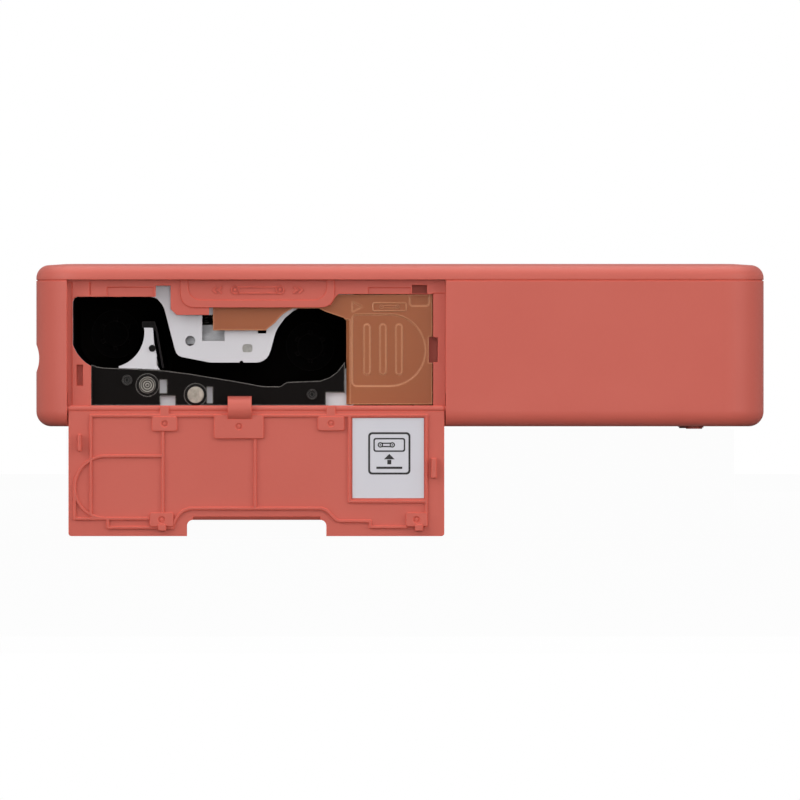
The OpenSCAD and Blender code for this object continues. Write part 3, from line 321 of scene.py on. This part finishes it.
def make_finishes(colours, sizes):
    """Every finish by its name.

    The numbers of moulded() are the grain's size and depth in millimetres, the roughness, the
    rounding of the edges in millimetres and the index of refraction. Those of metal() are the
    roughness, the lines' scale along X, Y and Z (below 1 draws them out), their size and depth in
    millimetres, the rounding of the edges and how metallic it is.
    """
    m = {}
    # ABS from a spark-eroded mould: matt, with a fine even grain that softens each highlight.
    # The real grain of about 0.1 mm is too fine to show and is drawn coarser. Its edges get a painted
    # highlight, a lighter and redder coral.
    m["coral_abs"] = moulded(
        "Moulded coral ABS", colours.case, colours.case_shade, sizes.case_grain, 0.012, 0.46, 0.25,
        edge_highlight=colours.case_edge_highlight,
    )
    # The same plastic on the small feet, whose rims are nearly sharp.
    m["coral_foot"] = moulded(
        "Moulded coral ABS foot", colours.case, colours.case_shade, sizes.case_grain, 0.008, 0.46, 0.04
    )
    # ABS from a polished mould: smooth, so light runs along its ribs and outlines, where a pale brown
    # painted highlight is laid as well.
    m["brown_abs"] = moulded(
        "Polished brown ABS", colours.lever, colours.lever_shade, 0.6, 0.004, 0.36, 0.25,
        edge_highlight=colours.lever_edge_highlight, highlight_mm=0.5,
    )
    # Filled nylon: pale, satin, faintly cloudy.
    m["pale_nylon"] = moulded("Pale filled nylon", colours.plate, "#CECCD0", 0.5, 0.006, 0.42, 0.15)
    # Black ABS: matt inner mouldings that stay dark, with a painted highlight in grey along their edges.
    m["black_abs"] = moulded(
        "Black moulded ABS", "#0F0C0C", "#0B0909", 0.4, 0.01, 0.6, 0.15, edge_highlight="#2A2726",
        Specular_IOR_Level=0.15,
    )
    # Powder-coated steel sheet: black with an orange-peel skin, and a light grey painted highlight along
    # its cut edges.
    m["black_coated"] = moulded(
        "Black coated steel sheet", "#0F0C0B", "#0B0908", 0.8, 0.015, 0.6, 0.14, edge_highlight="#8C8884",
        Specular_IOR_Level=0.08,
    )
    # Sintered bearing bushes: oily dark bronze with a visible grain, and a faint painted highlight along
    # their rims.
    m["bearing"] = moulded(
        "Oiled sintered bush", "#161312", "#0F0D0C", 0.25, 0.02, 0.5, 0.08, edge_highlight="#23201E",
        highlight_mm=0.12, Specular_IOR_Level=0.15,
    )
    # Acetal: waxy white gears.
    m["acetal"] = moulded(
        "Natural acetal", "#E4E1D8", "#DAD7CE", 0.6, 0.003, 0.35, 0.08, 1.48, Subsurface_Weight=0.08
    )
    # Ground nitrile rubber: dull, with the fine tooth of the grinding wheel.
    m["rubber"] = moulded("Ground nitrile rubber", "#2E2E30", "#262628", 0.25, 0.03, 0.75, 0.1, 1.52)
    # Zinc-plated steel sheet, cold rolled along X: light, blotchy and softly shining.
    m["plated_sheet"] = metal(
        "Rolled zinc-plated steel", "#D6D6D8", "#B9B9BC", 0.5, (0.3, 1, 1), 0.5, 0.004
    )
    # Ground steel rod.
    m["steel_rod"] = metal("Ground steel rod", "#C9C6C1", "#B3B0AB", 0.4, (1, 12, 1), 0.3, 0.003)
    # Turned shaft ends: the tool leaves rings that catch the light.
    m["capstan_end"] = turned(
        "Turned tool steel", "#B0ABA3", "#55524D", 0.42, centre("capstan_roller"), 0.45, 0.9
    )
    # A faced end is plain: the tool's last cut leaves only a faint cloudiness.
    m["platen_end"] = metal(
        "Faced nickel steel", "#CDC3B7", "#A39A8E", 0.5, (1, 1, 1), 0.7, 0.006, 0.15, 0.85
    )
    # Drawn spring wire.
    m["spring_wire"] = metal("Drawn spring steel", "#BBBAB7", "#A3A29F", 0.35, (1, 1, 1), 0.2, 0.003)
    # Extruded aluminium, with die lines along Y.
    m["aluminium"] = metal("Extruded aluminium", "#D8DADC", "#C3C5C9", 0.45, (1, 0.05, 1), 0.2, 0.006)
    # Turned brass.
    m["brass"] = metal("Turned brass", "#D0AB52", "#B8933F", 0.3, (1, 10, 1), 0.3, 0.003)
    # Black-oxide screws: dark heads, with a light grey painted highlight along their rims and sockets.
    m["black_screw"] = moulded(
        "Black-oxide screw", "#131110", "#0D0B0B", 0.3, 0.006, 0.3, 0.08, edge_highlight="#6C6864",
        highlight_mm=0.12, Specular_IOR_Level=0.35,
    )
    # Nickel-plated screw steel.
    m["screw"] = metal("Nickel-plated screw", "#B5B1AB", "#98948E", 0.35, (1, 1, 1), 0.3, 0.004)
    # Printed polyester film: flat, cool white, faintly uneven under the lacquer.
    m["film"] = moulded("Lacquered label film", "#D4D3D9", "#CFCED5", 1.5, 0.003, 0.4, 0.05, 1.57)
    # Screen-printing ink on the film.
    m["ink"] = moulded("Screen-printed ink", "#2C2A2C", "#252325", 0.4, 0.004, 0.5, 0.0, 1.5)
    # Frosted polycarbonate light guides: milky, glowing where light gets in.
    m["frosted"] = moulded(
        "Frosted polycarbonate", "#E3E8E9", "#DADFE1", 0.5, 0.004, 0.3, 0.1, 1.58, Subsurface_Weight=0.15
    )
    # Glazed alumina of the heater line.
    m["ceramic"] = moulded("Glazed alumina", "#DAD5CA", "#CFCABF", 0.5, 0.003, 0.2, 0.05, 1.6)
    # Shrink-wrapped battery film.
    m["wrap"] = moulded("Shrunk battery film", "#3A4048", "#343A42", 2.5, 0.02, 0.3, 0.5, 1.54)
    m["board"] = circuit_board("Solder-masked board")
    return m


FINISH_OF = {
    "coral_abs": ["lower_case", "upper_case", "bay_bezel", "ink_door", "paper_cover", "cover_latch"],
    "coral_foot": ["feet"],
    "brown_abs": ["eject_lever"],
    "pale_nylon": ["front_side_plate", "ribbon_guide", "power_button"],
    "black_abs": [
        "cassette_tunnel", "guide_edging", "supply_coupler", "takeup_coupler", "exit_guide",
        "lower_paper_guide", "battery_tray", "turn_guide_outer", "turn_guide_inner", "paper_tray",
    ],
    "black_coated": ["lower_frame", "rear_side_plate"],
    "bearing": ["roller_bearings"],
    "acetal": ["capstan_gear", "takeup_gear", "pickup_gear"],
    "rubber": ["platen_roller", "pickup_roller"],
    "plated_sheet": ["head_arm", "pressure_plate", "charging_port"],
    "steel_rod": [
        "pinch_roller", "head_pivot_shaft", "pickup_shaft", "feed_motor", "ribbon_motor", "pickup_motor",
    ],
    "capstan_end": ["capstan_roller"],
    "platen_end": ["platen_shaft"],
    "aluminium": ["heat_sink"],
    "brass": ["feed_pinion", "ribbon_pinion", "pickup_pinion"],
    "black_screw": ["frame_screws"],
    "screw": ["case_screws"],
    "film": ["door_label"],
    "frosted": ["status_lamps"],
    "ceramic": ["thermal_head"],
    "wrap": ["battery"],
    "board": ["main_board"],
}


def dress(node, material):
    """Give a CAD node its finish."""
    for s in NODES[node].material_slots:
        s.link = "OBJECT"
        s.material = material


# ---- operators ----


class PRINTER_OT_stage(bpy.types.Operator):
    """Camera, lamps, plinth, floor and white surroundings"""

    bl_idname = "photo_printer.stage"
    bl_label = "Stage"

    def execute(self, context):
        sizes = context.scene.printer_sizes
        colours = context.scene.printer_colours
        scene = context.scene
        low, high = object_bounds()
        front = low.y

        lens = bpy.data.cameras.new("Camera")
        lens.sensor_width = 36
        lens.lens = lens.sensor_width * sizes.camera_away / sizes.view_width
        lens.clip_start = 0.01
        camera = bpy.data.objects.new("Camera", lens)
        camera.location = (0, front - sizes.camera_away, sizes.camera_height)
        # level, looking along +Y
        camera.rotation_euler = (math.pi / 2, 0, 0)
        scene.collection.objects.link(camera)
        scene.camera = camera

        # every lamp is aimed at the middle; name, place, size in metres and power in watts
        middle = Vector((0, 0, 0.01))
        for name, where, size, power in (
            ("Left key", (-0.85, -1.2, 0.45), 1.3, 9.0),
            ("Right key", (1.05, -1.2, 0.25), 1.4, 9.2),
            ("Front fill", (0.1, -2.0, 0.1), 0.3, 10.0),
            ("Rear fill", (0.3, 1.7, 0.2), 1.2, 10.0),
            ("Left fill", (-1.7, 0.4, 0.2), 1.0, 4.5),
            ("Right fill", (1.7, 0.4, 0.2), 1.0, 4.5),
            ("Overhead soft box", (0.0, -0.1, 0.8), 0.6, 0.15),
        ):
            lamp = bpy.data.lights.new(name, "AREA")
            lamp.size = size
            lamp.energy = power
            made = bpy.data.objects.new(name, lamp)
            made.location = where
            # the fills only lighten shadows, and leave no shine on flat faces and edges
            made.visible_glossy = "fill" not in name
            made.rotation_euler = (middle - Vector(where)).to_track_quat("-Z", "Y").to_euler()
            scene.collection.objects.link(made)

        # Strengths of the white surroundings: what lights the object, and what its gloss shows of
        # the room in front, the sweep behind and the ceiling straight above.
        around, room, sweep, ceiling = 0.42, 0.22, 0.32, 3.4
        world = bpy.data.worlds.new("White surroundings")
        scene.world = world
        world.use_nodes = True
        tree = world.node_tree
        path = put(tree, "ShaderNodeLightPath").outputs
        seen = put(
            tree,
            "ShaderNodeMath",
            {0: path["Is Camera Ray"], 1: path["Is Transmission Ray"]},
            operation="MAXIMUM",
        ).outputs[0]
        aim = put(tree, "ShaderNodeTexCoord").outputs["Generated"]
        ray = put(tree, "ShaderNodeSeparateXYZ", {"Vector": aim}).outputs
        behind, above = (
            put(
                tree,
                "ShaderNodeMapRange",
                {"Value": ray[way], "From Min": first, "From Max": last, "To Min": room, "To Max": most},
            ).outputs["Result"]
            for way, first, last, most in (("Y", 0.0, 0.8, sweep), ("Z", 0.6, 0.98, ceiling))
        )
        shown = put(tree, "ShaderNodeMath", {0: behind, 1: above}, operation="MAXIMUM").outputs[0]
        gloss = put(
            tree, "ShaderNodeMath", {0: path["Is Glossy Ray"], 1: shown}, operation="MULTIPLY"
        ).outputs[0]
        lit = put(tree, "ShaderNodeMath", {0: seen, 1: gloss}, operation="MAXIMUM").outputs[0]
        strength = put(tree, "ShaderNodeMath", {0: lit, 1: around}, operation="MAXIMUM").outputs[0]
        white = put(tree, "ShaderNodeBackground", {"Color": (1, 1, 1, 1), "Strength": strength})
        tree.links.new(white.outputs[0], tree.nodes["World Output"].inputs["Surface"])

        # Painted board: matt, grey in the light that it gives back, and this share of its look to
        # the camera is plain white.
        white_share = 0.97
        board, tree, shader = start("Matt painted board", Roughness=0.9)
        shader.inputs["Base Color"].default_value = linear(colours.backdrop)
        path = put(tree, "ShaderNodeLightPath").outputs
        glow = put(tree, "ShaderNodeEmission", {"Color": (1, 1, 1, 1), "Strength": 1.0})
        share = put(
            tree, "ShaderNodeMath", {0: path["Is Camera Ray"], 1: white_share}, operation="MULTIPLY"
        ).outputs[0]
        mix = put(tree, "ShaderNodeMixShader", {0: share, 1: shader.outputs[0], 2: glow.outputs[0]})
        tree.links.new(mix.outputs[0], tree.nodes["Material Output"].inputs["Surface"])

        # The housing stands on a low plinth, so that its open door can hang in front of it.
        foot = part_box("feet")
        inset, step, board_t = 6 * MM, 0.5 * MM, 2 * MM
        floor = low.z - step
        for name, x, y, z in (
            ("plinth", (low.x + inset, high.x - inset), (foot[0].y - MM, high.y - inset), (floor, 0)),
            ("floor", (-3, 3), (-1.5, 3), (floor - board_t, floor)),
        ):
            mesh = bpy.data.meshes.new(name)
            body = bmesh.new()
            bmesh.ops.create_cube(body, size=1)
            for v in body.verts:
                v.co = Vector((x[v.co.x > 0], y[v.co.y > 0], z[v.co.z > 0]))
            body.to_mesh(mesh)
            body.free()
            mesh.materials.append(board)
            made = bpy.data.objects.new(name, mesh)
            scene.collection.objects.link(made)
            made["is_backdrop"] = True
        scene.view_settings.view_transform = "Standard"
        return {"FINISHED"}


class PRINTER_OT_finishes(bpy.types.Operator):
    """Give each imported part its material"""

    bl_idname = "photo_printer.finishes"
    bl_label = "Finishes"

    def execute(self, context):
        made = make_finishes(context.scene.printer_colours, context.scene.printer_sizes)
        for finish, nodes in FINISH_OF.items():
            for node in nodes:
                dress(node, made[finish])
        return {"FINISHED"}


# ---- small raised and printed details ----


def arc(middle, radius, first, last, steps):
    """Points (x, z) of an arc between two angles in degrees."""
    turn = [math.radians(first + (last - first) * i / steps) for i in range(steps + 1)]
    return [(middle[0] + radius * math.cos(a), middle[1] + radius * math.sin(a)) for a in turn]


def circle(middle, radius, count):
    """Points (x, z) of a whole circle."""
    return arc(middle, radius, 0, 360 - 360 / count, count - 1)


def rounded(x0, x1, z0, z1, radius, steps=6):
    """Outline (x, z) of a rounded rectangle."""
    spots = ((x1 - radius, z1 - radius, 0), (x0 + radius, z1 - radius, 90))
    spots += ((x0 + radius, z0 + radius, 180), (x1 - radius, z0 + radius, 270))
    return [p for x, z, a in spots for p in arc((x, z), radius, a, a + 90, steps)]


def line(points, width):
    """Outline of a stroke of one width along open points, with mitred corners."""
    side = []
    for i, here in enumerate(points):
        near = [Vector(points[k]) for k in (max(i - 1, 0), i, min(i + 1, len(points) - 1))]
        steps = [(near[k + 1] - near[k]).normalized() for k in (0, 1) if near[k + 1] != near[k]]
        along = sum(steps, Vector((0, 0))).normalized()
        # a mitre grows with the corner, to twice the stroke's half width at most
        reach = width / 2 / max(along.dot(steps[0]), 0.5)
        side.append((Vector((-along.y, along.x)) * reach, Vector(here)))
    return [tuple(p + off) for off, p in side] + [tuple(p - off) for off, p in reversed(side)]


def raise_outline(build, outer, base, top, inner=None, taper=0.0):
    """A closed solid on outline (x, z) in millimetres, from Y base to Y top, with an optional hole."""
    def loop(points, y, shrink):
        middle = sum((Vector(p) for p in points), Vector((0, 0))) / len(points)
        made = []
        for p in points:
            out = Vector(p) - middle
            out = out * (1 - shrink / max(out.length, shrink * 2)) if shrink else out
            spot = middle + out
            made.append(build.verts.new((spot.x * MM, y * MM, spot.y * MM)))
        return made

    def walls(low, high):
        for i in range(len(low)):
            k = (i + 1) % len(low)
            build.faces.new((low[i], low[k], high[k], high[i]))

    rings = [(loop(outer, base, 0), loop(outer, top, taper))]
    walls(*rings[0])
    if inner:
        rings.append((loop(inner, base, 0), loop(inner, top, -taper)))
        walls(*rings[1])
        for end in (0, 1):
            one, two = rings[0][end], rings[1][end]
            for i in range(len(one)):
                k = (i + 1) % len(one)
                build.faces.new((one[i], one[k], two[k], two[i]))
    else:
        for end in (0, 1):
            build.faces.new(rings[0][end])


def raise_frame(build, box, rim, radii, base, top, taper=0.0):
    """A rounded frame, box = (x0, x1, z0, z1), rim wide, radii = (outer, inner) of its corners."""
    x0, x1, z0, z1 = box
    outer = rounded(x0, x1, z0, z1, radii[0])
    inner = rounded(x0 + rim, x1 - rim, z0 + rim, z1 - rim, radii[1])
    raise_outline(build, outer, base, top, inner, taper)


def finish_piece(build, name, material, body, bend=None):
    """Turn a bmesh into an object that rides on a body, or, given bend, stays fixed where it is made,
    with its slot.
    """
    bmesh.ops.recalc_face_normals(build, faces=build.faces)
    mesh = bpy.data.meshes.new(name)
    build.to_mesh(mesh)
    build.free()
    mesh.materials.append(material)
    made = bpy.data.objects.new(name, mesh)
    bpy.context.scene.collection.objects.link(made)
    if bend:
        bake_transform(made)
    else:
        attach(made, body)
    return made


def cassette_sign(build, middle, size, base, top, stroke, taper=0.0):
    """Sign of an ink cassette: two spools joined by a film, size = (spool distance, spool radius)."""
    reach, spool = size
    # shares of a spool's radius: its hub, and the height of the film on it; and the film's clearance
    hub, film, clear = 0.3, 0.78, 1.06
    for side in (-1, 1):
        spot = (middle[0] + side * reach / 2, middle[1])
        rim = circle(spot, spool, 24)
        raise_outline(build, rim, base, top, circle(spot, spool - stroke, 24), taper)
        raise_outline(build, circle(spot, spool * hub, 12), base, top, taper=taper)
    for side in (-1, 1):
        z = middle[1] + side * (spool - stroke / 2) * film
        gap = reach / 2 - math.sqrt(spool**2 - (abs(z - middle[1]) + stroke / 2) ** 2) * clear
        ends = [(middle[0] - gap, z), (middle[0] + gap, z)]
        raise_outline(build, line(ends, stroke), base, top, taper=taper)


def wind(build, foot, tip, radius, wire, turns):
    """A coil of round wire from foot to tip in metres, with its first and last turns closed."""
    along = (tip - foot).normalized()
    side = along.orthogonal().normalized()
    up = along.cross(side)
    # rise of a closed turn, and of each open turn between the two closed ones
    closed = wire * 1.05
    pitch = ((tip - foot).length - wire - 2 * closed) / (turns - 2)
    per_turn, sides = 24, 10
    round_wire = [k * math.tau / sides for k in range(sides)]
    rings = []
    for i in range(turns * per_turn + 1):
        turn = i / per_turn
        closed_turns = min(turn, 1) + max(turn - turns + 1, 0)
        open_turns = min(max(turn - 1, 0), turns - 2)
        out = side * math.cos(turn * math.tau) + up * math.sin(turn * math.tau)
        middle = foot + along * (wire / 2 + closed * closed_turns + pitch * open_turns) + out * radius
        rings.append([
            build.verts.new(middle + (out * math.cos(b) + along * math.sin(b)) * wire / 2)
            for b in round_wire
        ])
    for low, high in zip(rings, rings[1:]):
        for k in range(sides):
            n = (k + 1) % sides
            build.faces.new((low[k], low[n], high[n], high[k])).smooth = True
    build.faces.new(rings[0])
    build.faces.new(rings[-1])


class PRINTER_OT_springs(bpy.types.Operator):
    """Return springs, wound between the seats of the pieces that they pull or push"""

    bl_idname = "photo_printer.springs"
    bl_label = "Springs"

    def execute(self, context):
        steel = bpy.data.materials["Drawn spring steel"]
        # each coil is drawn out by this much at both ends, to meet its two seats
        seat = 0.15 * MM
        # the moving piece holds the high end of the lever's spring, and the low end of the others
        for node, body, moving_high, axis, turns, wire in (
            ("lever_spring", "eject_lever", True, 0, 6, 0.35),
            ("latch_spring", "cover_latch", False, 0, 6, 0.35),
            ("head_spring", "print_head", False, 2, 5, 0.4),
        ):
            low, high = (Vector(v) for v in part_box(node))
            across = high[2 - axis] - low[2 - axis]
            rows = (low.y + across / 2, high.y - across / 2) if axis == 2 else ((low.y + high.y) / 2,)
            build = bmesh.new()
            for y in rows:
                foot = Vector(((low.x + high.x) / 2, y, (low.z + high.z) / 2))
                tip = foot.copy()
                foot[axis] = low[axis] - seat
                tip[axis] = high[axis] + seat
                wind(build, foot, tip, (across - wire * MM) / 2, wire * MM, turns)
            bend = (body, foot, tip) if moving_high else (body, tip, foot)
            made = finish_piece(build, node + "_wire", steel, "housing", bend)
            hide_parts(node)
        return {"FINISHED"}


class PRINTER_OT_signs(bpy.types.Operator):
    """Raised cassette sign on the tab and on the lever, and the power sign on the button"""

    bl_idname = "photo_printer.signs"
    bl_label = "Moulded signs"

    def execute(self, context):
        coral = bpy.data.materials["Moulded coral ABS"]
        brown = bpy.data.materials["Polished brown ABS"]
        ink = bpy.data.materials["Screen-printed ink"]
        # in millimetres: how deep each sign is sunk in its face, and how proud it stands
        sink, tab_proud, lever_proud, button_proud = 0.05, 0.4, 0.2, 0.12

        # the tab carries a cassette between two pairs of arrow heads
        face, x, z = -48.2, -28.6, 27.9
        base, top = face + sink, face - tab_proud
        stroke, arm, first, pitch = 0.36, 0.7, 7.2, 1.1
        build = bmesh.new()
        cassette_sign(build, (x, z), (9.0, 0.95), base, top, stroke, 0.05)
        for side in (-1, 1):
            for step in range(2):
                tail = x + side * (first + step * pitch)
                head = [(tail, z + arm), (tail + side * arm, z), (tail, z - arm)]
                raise_outline(build, line(head, stroke), base, top, taper=0.03)
        finish_piece(build, "tab_sign", coral, "housing")

        # the lever carries a smaller one in a frame
        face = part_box("eject_lever")[0].y / MM
        base, top = face + sink, face - lever_proud
        build = bmesh.new()
        raise_frame(build, (-5.6, 1.4, 23.6, 25.5), 0.3, (0.5, 0.25), base, top, 0.03)
        cassette_sign(build, (-2.1, 24.55), (3.2, 0.45), base, top, 0.18, 0.02)
        finish_piece(build, "lever_sign", brown, "eject_lever")

        # the button carries the power sign, an open ring with a stem
        low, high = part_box("power_button")
        face = high.y / MM
        base, top = face - sink, face + button_proud
        x, z = (low.x + high.x) / 2 / MM, (low.z + high.z) / 2 / MM
        radius, stroke = 1.35, 0.3
        build = bmesh.new()
        raise_outline(build, line(arc((x, z), radius, 120, 420, 30), stroke), base, top)
        raise_outline(build, line([(x, z + 0.2), (x, z + 1.6)], stroke), base, top)
        finish_piece(build, "button_sign", ink, "power_button")
        return {"FINISHED"}


class PRINTER_OT_label(bpy.types.Operator):
    """Printed loading diagram on the label of the door"""

    bl_idname = "photo_printer.label"
    bl_label = "Label print"

    def execute(self, context):
        ink = bpy.data.materials["Screen-printed ink"]
        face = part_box("door_label")[0].y / MM
        # the ink is drawn from a little inside the film to a little in front of it
        ink_t = 0.02
        base, top = face + ink_t, face - ink_t
        # middle of the diagram, and half of its width, in millimetres
        x, z, half = -2.15, -4.92, 4.25
        build = bmesh.new()
        raise_frame(build, (x - half, x + half, z - half, z + half), 0.4, (0.8, 0.5), base, top)
        # printer seen from its side, with an arrow that points into its bay
        raise_frame(build, (x - 3.2, x + 3.2, z + 0.3, z + 3.1), 0.3, (0.5, 0.3), base, top)
        cassette_sign(build, (x - 0.6, z + 1.7), (2.4, 0.55), base, top, 0.25)
        head = [(x - 1.1, z - 1.2), (x + 1.1, z - 1.2), (x, z - 0.1)]
        stem = [(x, z - 1.3), (x, z - 2.2)]
        ground = [(x - 2.6, z - 2.9), (x + 2.6, z - 2.9)]
        raise_outline(build, head, base, top)
        raise_outline(build, line(stem, 0.8), base, top)
        raise_outline(build, line(ground, 0.45), base, top)
        finish_piece(build, "label_print", ink, "ink_door")
        return {"FINISHED"}


STEPS = (
    PRINTER_OT_stage, PRINTER_OT_finishes, PRINTER_OT_springs, PRINTER_OT_signs, PRINTER_OT_label,
)


class PRINTER_PT_panel(bpy.types.Panel):
    """Steps that build the photo printer's looks"""

    bl_idname = "PRINTER_PT_panel"
    bl_label = "Photo printer"
    bl_space_type = "VIEW_3D"
    bl_region_type = "UI"
    bl_category = "Photo printer"

    def draw(self, context):
        for step in STEPS:
            self.layout.operator(step.bl_idname)
        for group in (context.scene.printer_colours, context.scene.printer_sizes):
            for name in group.bl_rna.properties.keys():
                if name not in ("rna_type", "name"):
                    self.layout.prop(group, name)


CLASSES = (PrinterColours, PrinterSizes, *STEPS, PRINTER_PT_panel)


def register():
    for c in CLASSES:
        bpy.utils.register_class(c)
    bpy.types.Scene.printer_colours = bpy.props.PointerProperty(type=PrinterColours)
    bpy.types.Scene.printer_sizes = bpy.props.PointerProperty(type=PrinterSizes)


def unregister():
    del bpy.types.Scene.printer_sizes
    del bpy.types.Scene.printer_colours
    for c in reversed(CLASSES):
        bpy.utils.unregister_class(c)


def main():
    register()
    for step in STEPS:
        group, name = step.bl_idname.split(".")
        getattr(getattr(bpy.ops, group), name)()


if __name__ == "__main__":
    main()
